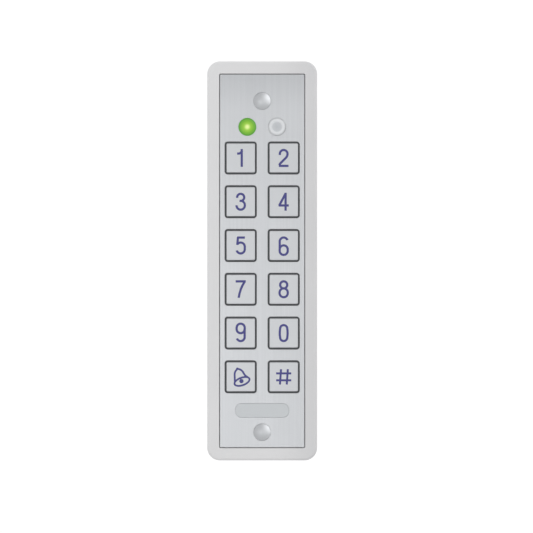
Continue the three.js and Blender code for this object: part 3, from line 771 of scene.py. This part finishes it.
def statusLens(side):
    node = f"status_lens_{side}"
    low, _, flange, centre = axisOf(node)
    stem, radius, plateHigh = lens["stem"], lens["radius"], benchBox("face_plate")[1].z
    flangeHigh = recessFloor() + lens["flangeRise"]
    flangeLow = flangeHigh - lens["flangeDepth"]
    profile = [(0, low), (stem, low), (stem, flangeLow), (flange, flangeLow), (flange, flangeHigh),
               (radius, flangeHigh)]
    profile += [(out, plateHigh + rise) for out, rise in lens["face"]]
    if side == "left":
        finish[node] = litLens(centre, radius), "lens_green"
    else:
        finish[node] = unlitLens(centre, radius), "lens_clear"
    turnedPiece(f"statusLens_{side}", node, profile, node, sharp=50)


def screwCap(end):
    node = f"screw_cap_{end}"
    low = axisOf(node)[0]
    plateLow, plateHigh = (corner.z for corner in benchBox("face_plate"))
    radius, rise = cap["radius"], cap["rise"]
    sphere = (radius ** 2 + rise ** 2) / (2 * rise)
    profile = [(0, low), (cap["stem"], low), (cap["stem"], plateLow - cap["cone"]), (radius, plateLow)]
    for i in range(cap["rings"] + 1):
        out = radius * (1 - i / cap["rings"])
        profile.append((out, plateHigh + rise - sphere + (sphere ** 2 - out ** 2) ** 0.5))
    turnedPiece(f"screwCap_{end}", node, profile, "capSteel", sharp=50)


def labelInlay():
    low, high, size, centre = placeOf("label_inlay")
    bm = block(size, low.z, high.z, label["corner"], centre, 10, front=label["edge"], edgeSteps=2)
    finished("labelInlay", bm, "labelFilm", ["label_inlay"])


print("modelling the front")
frontHousing()
facePlate()
keyFrame()
for name in keyNames:
    keyCap(name)
    keyLegend(name)
for side in sides:
    statusLens(side)
for end in ends:
    screwCap(end)
labelInlay()


# ---- rear base, its grommet and its seal

base = {"floor": 2.2, "lip": 3.3, "lipWall": 1.4, "step": 1.6, "corner": 2.5, "edge": 0.3, "floorEdge": 0.2,
        "soft": 0.25, "root": 0.5, "bossWall": 1.5, "bossEdge": 0.3, "ribs": (-52, -33, 12, 24, 52),
        "ribWidth": 1.2, "ribHeight": 1.6, "gusset": 0.9, "gussetReach": 5, "gussetDrop": 2.4,
        "insertPlay": 0.05, "slotPlace": 41.65, "slot": (4.6, 8.0), "slotCorner": 2.25,
        "headSeat": (7.6, 11.0), "seatCorner": 3.7, "seatDepth": 0.7, "cableHole": 6.2, "rebate": 0.9,
        "rebateRadius": 7.9, "window": 2.6, "windowCollar": 3.8, "panel": (24, 13), "panelPlace": 60.5,
        "panelDepth": 0.25, "mark": 1.9, "markDepth": 0.12, "marksAcross": (-12.5, 12.5),
        "marksUp": (-47, -8, 14, 36), "through": (-1, 9)}


def rearBase():
    _, high, size, _ = placeOf("rear_base")
    insertLow, insertHigh = benchBox("threaded_insert_top")
    floor, soft, root = base["floor"], base["soft"], base["floor"] - base["root"]
    insertRadius = axisOf("threaded_insert_top")[2]
    bossRadius = insertRadius + base["bossWall"]
    bosses = [centreOf(f"threaded_insert_{end}") for end in ends]
    step = base["step"]
    bm = block(size, 0, floor, base["corner"], steps=10, front=base["floorEdge"], back=base["edge"])
    lip = block(inset(size, step), root, floor + base["lip"], base["corner"] / 2, steps=6, front=soft)
    room = block(inset(size, step + base["lipWall"]), floor, high.z + past, base["corner"] / 4, steps=4)
    bm = cut(joined(bm, [lip]), [room])
    across = size.x - 2 * step - base["lipWall"]
    window, cable = centreOf("tamper_sensor"), centreOf("cable_grommet")
    ribTop = floor + base["ribHeight"]
    raised = [rod(bossRadius, 1, insertHigh.z, place, 40, front=base["bossEdge"]) for place in bosses]
    raised.append(rod(base["windowCollar"], 1, ribTop, window, 40, front=soft))
    rib = (across, base["ribWidth"])
    raised += [block(rib, root, ribTop, place=(0, y), front=soft) for y in base["ribs"]]
    wide, thin = 2 * bossRadius + base["gussetReach"], base["gusset"]
    for place in bosses:
        for wings in ((thin, wide), (wide, thin)):
            raised.append(block(wings, root, insertHigh.z - base["gussetDrop"], place=place, front=soft))
    for part in raised:
        bm = joined(bm, [part])
    low, top = base["through"]
    through = [rod(insertRadius + base["insertPlay"], insertLow.z - 0.1, 20, place, 40) for place in bosses]
    through += [rod(base["cableHole"], low, top, cable, 64), rod(base["window"], low, top, window, 40)]
    through += [block(base["slot"], low, top, base["slotCorner"], (0, end * base["slotPlace"]), 10)
                for end in (-1, 1)]
    bm = cut(bm, through)
    shallow = [rod(base["rebateRadius"], low, base["rebate"], cable, 64)]
    for end in (-1, 1):
        shallow.append(block(base["headSeat"], floor - base["seatDepth"], top, base["seatCorner"],
                             (0, end * base["slotPlace"]), 10))
        shallow.append(block(base["panel"], low, base["panelDepth"], 2, (0, end * base["panelPlace"]), 6))
    shallow += [rod(base["mark"], low, base["markDepth"], (x, y), 32)
                for x in base["marksAcross"] for y in base["marksUp"]]
    finished("rearBase", cut(bm, shallow), "baseMoulding", ["rear_base"])


grommet = {"bore": 4.0, "groove": 0.3, "grooves": 3, "play": 0.1, "lip": 0.35}


def cableGrommet():
    low, high, outer, _ = axisOf("cable_grommet")
    waist, bore, deep = base["cableHole"] - grommet["play"], grommet["bore"], grommet["groove"]
    floor, rebate = base["floor"] + grommet["play"], base["rebate"] - grommet["play"]
    lip = grommet["lip"]
    profile = [(bore + 0.3, high), (outer - 0.6, high), (outer, high - lip), (outer, floor), (waist, floor),
               (waist, rebate), (outer, rebate), (outer, low + 0.2), (outer - 0.2, low), (bore + 0.3, low),
               (bore, low + 0.25)]
    pitch = (high - low - 2 * lip) / grommet["grooves"]
    for i in range(grommet["grooves"]):
        start = low + lip + i * pitch
        profile += [(bore, start), (bore + deep, start + pitch * 0.3), (bore + deep, start + pitch * 0.6),
                    (bore, start + pitch * 0.9)]
    profile += [(bore, high - 0.25), profile[0]]
    turnedPiece("cableGrommet", "cable_grommet", profile, "softRubber", 72)


seal = {"width": 1.5, "corner": 2.7, "round": 0.45, "groove": 0.25}


def housingSeal():
    low, high, size, centre = placeOf("housing_seal")
    wide, soft, groove = seal["width"], seal["round"], seal["groove"]
    middle = (low.z + high.z) / 2
    profile = [(0, low.z + soft), (soft, low.z), (wide - soft, low.z), (wide, low.z + soft),
               (wide, high.z - soft), (wide - soft, high.z), (soft, high.z), (0, high.z - soft),
               (0, middle + groove), (groove, middle), (0, middle - groove)]
    finished("housingSeal", hoop(size, seal["corner"], profile, centre), "softRubber",
             ["housing_seal"])


# ---- silicone mat: a sheet, and under each key a dome

mat = {"skin": 0.8, "corner": 1.0, "edge": 0.2, "foot": 4.9, "footOverlap": 0.02, "shoulder": 2.9,
       "crown": 2.7, "cavity": 4.1, "roof": 1.2, "pill": 1.4, "travel": 1.0, "play": 0.08}


def keyMat():
    low, high, size, middle = placeOf("key_mat")
    sheetTop, roof, bottom, top = low.z + mat["skin"], high.z - mat["roof"], low.z, high.z
    bm = block(size, bottom, sheetTop, mat["corner"], middle, 6, front=mat["edge"])
    bm = cut(bm, rodsAt(keyNodes, mat["foot"] - mat["footOverlap"], bottom - past, top, 40))
    finished("matSheet", bm, "matSilicone", ["key_mat"])
    foot, cavity, pill, contact = mat["foot"], mat["cavity"], mat["pill"], bottom + mat["travel"]
    shoulder, crown = mat["shoulder"], mat["crown"]
    profile = [(0, contact), (pill, contact), (pill, roof - 0.1), (shoulder - 0.6, roof - 0.1),
               (cavity - 0.3, sheetTop - 0.2), (cavity, sheetTop - 0.4), (cavity, bottom), (foot, bottom),
               (foot, sheetTop), (foot - 0.3, sheetTop + 0.1), (shoulder + 0.4, roof), (shoulder, roof + 0.4),
               (crown + 0.1, top - 0.15), (crown - 0.1, top), (0, top)]
    for name in keyNames:
        centre = centreOf(f"key_{name}")
        dome = finished(f"matDome_{name}", turned(profile, centre, 40), "matSilicone")
        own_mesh(dome)


# ---- circuit board

board = {"corner": 1.5, "notch": 4.8, "screwHole": 1.5, "pad": 2.2, "copper": 0.05, "trace": 0.3,
         "contact": 1.6, "contactGap": 0.35, "lane": 12.9, "lanePitch": 0.7, "overlap": 0.1}


def circuitBoard():
    low, high, size, centre = placeOf("circuit_board")
    bm = block(size, low.z, high.z, board["corner"], centre, 6)
    holes = rodsAt(capNodes, board["notch"], low.z - past, high.z + past)
    holes += rodsAt(boardScrewNodes, board["screwHole"], low.z - past, high.z + past, 32)
    finished("circuitBoard", cut(bm, holes), "boardLaminate", ["circuit_board"])


def boardTraces():
    # one run from each contact to its lane, and the lanes to the processor
    front = benchBox("circuit_board")[1].z
    back, trace = front + board["copper"], board["trace"]
    top = centreOf("processor_chip").y
    runs = []
    for i, node in enumerate(keyNodes):
        centre = centreOf(node)
        side = -1 if centre.x < 0 else 1
        lane = board["lane"] + board["lanePitch"] * (i // 2)
        edge = abs(centre.x) + board["contact"] - board["overlap"]
        runs.append(block((lane - edge, trace), front, back, place=(side * (lane + edge) / 2, centre.y)))
        runs.append(block((trace, abs(top - centre.y) + trace), front, back,
                          place=(side * lane, (top + centre.y) / 2)))
    finished("boardTraces", joined(runs.pop(0), runs), "maskedTrace")


def boardPads():
    low, high = (corner.z for corner in benchBox("circuit_board"))
    contact, copper, pads = board["contact"], board["copper"], []
    for node in keyNodes:
        ring = rod(contact, high, high + 1.5 * copper, centreOf(node), 40)
        gap = block((board["contactGap"], 2 * contact + 1), high - past, high + past, place=centreOf(node))
        pads.append(cut(ring, [gap]))
    for node in boardScrewNodes:
        ring = rod(board["pad"], low - copper, low, centreOf(node), 40)
        pads.append(cut(ring, rodsAt([node], board["screwHole"], low - past, low + past, 32)))
    tinned("boardPads", pads)


# ---- parts on the back of the board

header = {"wall": 0.8, "corner": 0.3, "roomCorner": 0.2, "edge": 0.2, "notch": (4.5, 3.0), "pins": 10,
          "pitch": 2.54, "pin": 0.64, "point": 0.15, "short": 0.1}


def cableHeader():
    low, high, size, centre = placeOf("cable_header")
    wall = header["wall"]
    bm = block(size, low.z, high.z, header["corner"], centre, 3, back=header["edge"])
    room = block(inset(size, wall), low.z - past, high.z - 2 * wall, header["roomCorner"], centre, 3)
    notch = block((header["notch"][0], 3 * wall), low.z - past, low.z + header["notch"][1],
                  place=(centre.x, high.y - wall / 2))
    finished("cableHeader", cut(cut(bm, [room]), [notch]), "whiteNylon", ["cable_header"])
    pins = []
    for i in range(header["pins"]):
        place = (centre.x + (i - (header["pins"] - 1) / 2) * header["pitch"], centre.y)
        pins.append(block((header["pin"],) * 2, low.z + wall, high.z - header["short"], place=place,
                          back=header["point"], edgeSteps=2))
    tinned("headerPins", pins)


def buzzer():
    low, high, wide, _ = axisOf("buzzer")
    # from the bottom of the sound hole outwards, up the wall and over the skirt
    profile = [(0, low + 2.4), (1, low + 2.4), (1, low + 0.15), (1.15, low), (wide - 1.5, low),
               (wide - 1.3, low + 0.2), (wide - 0.5, low + 0.2), (wide - 0.1, low + 0.45), (wide, low + 0.8),
               (wide, high - 1.0), (wide - 0.25, high - 0.9), (wide - 0.25, high), (0, high)]
    turnedPiece("buzzerCan", "buzzer", profile, "buzzerPlastic")


def filterCapacitor():
    low, high, wide, _ = axisOf("filter_capacitor")
    # from the sunk end outwards, up the can and over its rolled bead
    profile = [(0, low + 0.2), (wide - 0.75, low + 0.2), (wide - 0.6, low), (wide - 0.25, low + 0.05),
               (wide, low + 0.35), (wide, high - 1.7), (wide - 0.3, high - 1.4), (wide - 0.3, high - 1.2),
               (wide, high - 0.9), (wide, high - 0.3), (wide - 0.2, high), (0, high)]
    turnedPiece("capacitorCan", "filter_capacitor", profile, "capacitorCan")


coil = {"corner": 6.0, "turns": 5, "layers": 3, "width": 2.0}


def antennaCoil():
    # the outline of the wires in the bundle, each an arc over the wires on its edge
    low, high, size, centre = placeOf("antenna_coil")
    last, top = coil["turns"] - 1, coil["layers"] - 1
    arcs = [(0, 0, 90, 360)] + [(i, 0, 180, 360) for i in range(1, last)] + [(last, 0, 180, 450)]
    arcs += [(last, j, 270, 450) for j in range(1, top)] + [(last, top, 270, 540)]
    arcs += [(last - i, top, 0, 180) for i in range(1, last)] + [(0, top, 0, 270)]
    arcs += [(0, top - j, 90, 270) for j in range(1, top)]
    wide, tall = coil["width"] / coil["turns"], (high.z - low.z) / coil["layers"]
    profile = []
    for turn, layer, start, end in arcs:
        for degrees in range(start, end, 30):
            angle = radians(degrees)
            across, up = turn + 0.5 + cos(angle) / 2, layer + 0.5 + sin(angle) / 2
            profile.append((across * wide, low.z + up * tall))
    bm = hoop(size, coil["corner"], profile, centre)
    finished("coilWinding", bm, "coilCopper", ["antenna_coil"], sharp=50)


# of each chip: leads on a side, where the sides with leads face, pitch, width and foot of a lead
packages = {
    "processor_chip": {"count": 8, "sides": (0, 90, 180, 270), "pitch": 0.8, "width": 0.32, "foot": 0.4},
    "reader_chip": {"count": 7, "sides": (0, 180), "pitch": 0.65, "width": 0.26, "foot": 0.35},
    "power_regulator": {"count": 3, "sides": (90, 270), "pitch": 2.2, "width": 0.8, "foot": 0.4},
    "tamper_sensor": {"count": 2, "sides": (0, 180), "pitch": 1.6, "width": 0.5, "foot": 0.3},
}
lead = {"thick": 0.14, "bend": 0.14, "slope": 80, "shoulder": 0.2, "root": 0.1}
chipBody = {"drop": 0.08, "edge": 0.1, "dent": 0.35, "dentDepth": 0.06, "dentPlace": 0.8, "eye": 0.75,
            "eyeDepth": 0.5}


def chip(node):
    low, high, size, centre = placeOf(node)
    package, edge = packages[node], chipBody["edge"]
    bm = block(size, low.z, high.z - chipBody["drop"], edge, centre, 2, front=edge, back=edge)
    tools = [rod(chipBody["dent"], low.z - past, low.z + chipBody["dentDepth"],
                 (low.x + chipBody["dentPlace"], high.y - chipBody["dentPlace"]), 24)]
    if node == "tamper_sensor":
        eyes = [(centre.x + side, centre.y) for side in (-1, 1)]
        tools = [rod(chipBody["eye"], low.z - past, low.z + chipBody["eyeDepth"], eye, 32) for eye in eyes]
    finished(f"{node}_body", cut(bm, tools), "chipResin", [node])
    middle, rise = (low.z + high.z) / 2, (high.z - low.z) / 2 - lead["thick"] / 2
    slope, bend = radians(lead["slope"]), lead["bend"]
    run = (rise - 2 * bend * (1 - cos(slope))) / sin(slope)
    moves = [lead["shoulder"], (bend, lead["slope"]), run, (bend, -lead["slope"]), package["foot"]]
    leads = []
    for side in package["sides"]:
        reach = (size.x if side % 180 == 0 else size.y) / 2 - lead["root"]
        for i in range(package["count"]):
            place = (i - (package["count"] - 1) / 2) * package["pitch"]
            bm = penStroke((reach, 0), 0, moves, lead["thick"], package["width"])
            turnedBy(bm, 90, "X")
            moved(bm, (0, place + package["width"] / 2, middle))
            turnedBy(bm, side, "Z")
            moved(bm, (centre.x, centre.y, 0))
            leads.append(bm)
    tinned(f"{node}_leads", leads)


can = {"brim": 0.3, "brimCorner": 1.2, "brimEdge": 0.08, "step": 0.3, "root": 0.2, "corner": 1.0,
       "edge": 0.25}


def crystal():
    low, high, size, centre = placeOf("crystal")
    soft = can["brimEdge"]
    brim = block(size, high.z - can["brim"], high.z, can["brimCorner"], centre, 8, front=soft, back=soft)
    body = block(inset(size, can["step"]), low.z, high.z - can["root"], can["corner"], centre, 8,
                 back=can["edge"])
    finished("crystalCan", joined(brim, [body]), "tinnedMetal", ["crystal"])


# ---- lamps on the front of the board

lamp = {"cup": 0.82, "cupDepth": 0.4, "foot": 0.9, "footWidth": 0.8, "footHeight": 0.3, "end": 0.22,
        "dome": 3.2, "domeCorner": 0.12}


def statusLamp(side):
    low, high, size, centre = placeOf(f"status_led_{side}")
    radius, top, foot = size.y / 2 * lamp["cup"], high.z, lamp["footHeight"]
    bm = block(size, low.z + 0.1, top, 0.15, centre, 2, front=0.1)
    bm = cut(bm, [rod(radius, top - lamp["cupDepth"], top + past, centre, 40)])
    bead = turned([(0, top - 0.6), (radius * 0.95, top - 0.6), (radius * 0.95, top - 0.3),
                   (radius * 0.6, top - 0.14), (radius * 0.25, top - 0.1), (0, top - 0.09)], centre, 40)
    finished(f"statusLamp_{side}", joined(bm, [bead]), "lampResin", [f"status_led_{side}"])
    feet = [block((lamp["foot"], size.y * lamp["footWidth"]), low.z, low.z + foot, 0.1,
                  (centre.x + end * (size.x / 2 - foot), centre.y), 2, front=0.05) for end in (-1, 1)]
    tinned(f"statusLampFeet_{side}", feet)


def backlights():
    lamps, metalEnds, nodes = [], [], [f"backlight_{name}" for name in keyNames]
    end, corner = lamp["end"], lamp["domeCorner"]
    for node in nodes:
        low, high, size, centre = placeOf(node)
        plug = block((size.x - 2 * end, size.y), low.z, low.z + 0.25, place=centre)
        dome = block((size.x - lamp["dome"] * end, size.y), low.z + 0.2, high.z, corner, centre, 3,
                     front=corner)
        lamps.append(joined(plug, [dome]))
        for side in (-1, 1):
            place = (centre.x + side * (size.x - end) / 2, centre.y)
            metalEnds.append(block((end * 1.05, size.y), low.z - 0.02, low.z + 0.3, 0.03, place, 2,
                                   front=0.03))
    finished("backlightLamps", gathered(lamps), "lampResin", nodes)
    tinned("backlightEnds", metalEnds)


# ---- screws and inserts

fixing = {"pitch": 0.5, "groove": 0.2, "crest": (0.18, 0.32), "bore": 1.55}
security = {"socket": 1.25, "socketDepth": 1.4, "head": 2.75, "headHeight": 2.2, "crown": 0.6, "shank": 1.5,
            "plain": 2}
boardFixing = {"slot": (3.0, 0.6), "slotDepth": 0.75, "head": 2.3, "headHeight": 1.5, "shank": 1.2,
               "edge": 0.5, "dome": 0.9}
quarter = [radians(i * 22.5) for i in range(5)]


def threaded(radius, low, high):
    # the edge of a threaded shank, from low to high
    edge = []
    for i in range(int((high - low) / fixing["pitch"])):
        start = low + i * fixing["pitch"]
        edge += [(radius - fixing["groove"], start), *((radius, start + crest) for crest in fixing["crest"])]
    return edge


def securityScrew(end):
    node = f"security_screw_{end}"
    low, high, _, centre = axisOf(node)
    crown, shank, head = security["crown"], security["shank"], security["head"]
    under = high - security["headHeight"]
    profile = [(0, low), (shank - crown, low), *threaded(shank, low + crown, under - security["plain"]),
               (shank, under - 1.9), (shank, under), (head, under)]
    profile += [(head - crown * (1 - cos(angle)), high - crown * (1 - sin(angle))) for angle in quarter]
    bm = turned([*profile, (0, high)], centre, 48)
    bm = cut(bm, [rod(security["socket"], high - security["socketDepth"], high + past, centre, 6)])
    finished(f"securityScrew_{end}", bm, "screwSteel", [node])


def boardScrew(index):
    node = f"board_screw_{index}"
    low, high, _, centre = axisOf(node)
    head, shank, edge = boardFixing["head"], boardFixing["shank"], boardFixing["edge"]
    under = low + boardFixing["headHeight"]
    profile = [(0, low)]
    profile += [(head - edge * (1 - sin(angle)), low + boardFixing["dome"] * (1 - cos(angle)) ** 1.5)
                for angle in quarter]
    profile += [(head, under), *threaded(shank, under + 0.05, high - edge), (shank - edge, high), (0, high)]
    bm = turned(profile, centre, 40)
    long, thin = boardFixing["slot"]
    for size in ((long, thin), (thin, long)):
        bm = cut(bm, [block(size, low - past, low + boardFixing["slotDepth"], place=centre)])
    finished(f"boardScrew_{index}", bm, "screwSteel", [node])


def threadedInsert(end):
    node = f"threaded_insert_{end}"
    low, high, outer, _ = axisOf(node)
    bore, third, waist = fixing["bore"], (high - low) / 3, outer - 0.3
    profile = [(bore, low), (outer - 0.15, low), (outer, low + 0.15), (outer, low + third),
               (waist, low + third + 0.2), (waist, high - third - 0.2), (outer, high - third),
               (outer, high - 0.15), (outer - 0.15, high), (bore + 0.2, high), (bore, high - 0.2),
               (bore, low)]
    turnedPiece(f"threadedInsert_{end}", node, profile, "insertBrass", 48)


print("modelling the rear and the inside")
rearBase()
cableGrommet()
housingSeal()
dress(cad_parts["plate_tape"].data, "foamTape")
keyMat()
circuitBoard()
boardTraces()
boardPads()
cableHeader()
buzzer()
filterCapacitor()
antennaCoil()
for node in packages:
    chip(node)
crystal()
for side in sides:
    statusLamp(side)
backlights()
for end in ends:
    securityScrew(end)
    threadedInsert(end)
for index in boardScrews:
    boardScrew(index)


# ---- floor, light and camera

studio = {"floorDrop": 0.25, "floorSize": 3.0, "distance": 1.3, "frameWidth": 0.20807, "sensor": 36.0,
          "aim": (0.00169, -0.0022)}


def floorPlane():
    bm = bmesh.new()
    bmesh.ops.create_grid(bm, x_segments=1, y_segments=1, size=studio["floorSize"] / 2)
    moved(bm, (0, 0, -studio["floorDrop"]))
    mesh = meshOf("floor", bm)
    floor = bpy.data.objects.new("floor", mesh)
    scene.collection.objects.link(floor)
    dress(mesh, "floorPaper")


def softLight(name, place, size, power):
    # a panel that faces the reader and doesn't show itself
    data = bpy.data.lights.new(name, "AREA")
    data.size, data.energy = size, power
    light = bpy.data.objects.new(name, data)
    light.location = place
    light.rotation_mode = "QUATERNION"
    light.rotation_quaternion = (-Vector(place)).to_track_quat("-Z", "Y")
    light.visible_camera = False
    scene.collection.objects.link(light)
    return light


air = {
    "gloss": {"even": 0.63, "right": 1.0, "left": 0.12},
    "matt": {"even": 0.86, "right": 0.0, "left": 0.3},
    "seen": 1.05,
}


def surroundings():
    world = bpy.data.worlds.new("studioAir")
    scene.world = world
    world.use_nodes = True
    tree = world.node_tree
    tree.nodes.clear()
    spot = Wire(tree)
    seen = spot.node("ShaderNodeLightPath", output="Is Camera Ray")
    matt = spot.node("ShaderNodeLightPath", output="Is Diffuse Ray")
    facing = spot.node("ShaderNodeTexCoord", output="Generated")
    sideways = spot.node("ShaderNodeSeparateXYZ", None, {"Vector": facing}, output="X")
    right, left = sideways.sum("MAXIMUM", sideways, 0), sideways.sum("MAXIMUM", 0 - sideways, 0)
    power = {ray: right * air[ray]["right"] + left * air[ray]["left"] + air[ray]["even"]
             for ray in ("gloss", "matt")}
    strength = power["matt"] * matt + power["gloss"] * (1 - matt)
    soft = spot.node("ShaderNodeBackground", None, {"Color": (1, 1, 1, 1), "Strength": strength})
    white = spot.node("ShaderNodeBackground", None, {"Color": (1, 1, 1, 1), "Strength": air["seen"]})
    both = spot.node("ShaderNodeMixShader", None, {0: seen, 1: soft, 2: white})
    end = tree.nodes.new("ShaderNodeOutputWorld")
    tree.links.new(both.socket, end.inputs["Surface"])


def camera():
    data = bpy.data.cameras.new("frontCamera")
    data.sensor_width = studio["sensor"]
    data.lens = studio["sensor"] * studio["distance"] / studio["frameWidth"]
    data.clip_start, data.clip_end = 0.05, 20
    camera = bpy.data.objects.new("frontCamera", data)
    front = cadBox[0].y
    across, up = studio["aim"]
    camera.location = (across, front - studio["distance"], up)
    camera.rotation_mode = "XYZ"
    camera.rotation_euler = (radians(90), 0, 0)
    scene.collection.objects.link(camera)
    scene.camera = camera


print("setting the studio")
floorPlane()
surroundings()
softLight("frontPanel", (-0.33, -1.5, -0.17), 0.5, 1.5)
glint = softLight("upperRight", (0.5, -0.55, 0.45), 0.4, 0.42)
glint.visible_diffuse = False  # seen only by what shines
scene.view_settings.view_transform = "Standard"
camera()
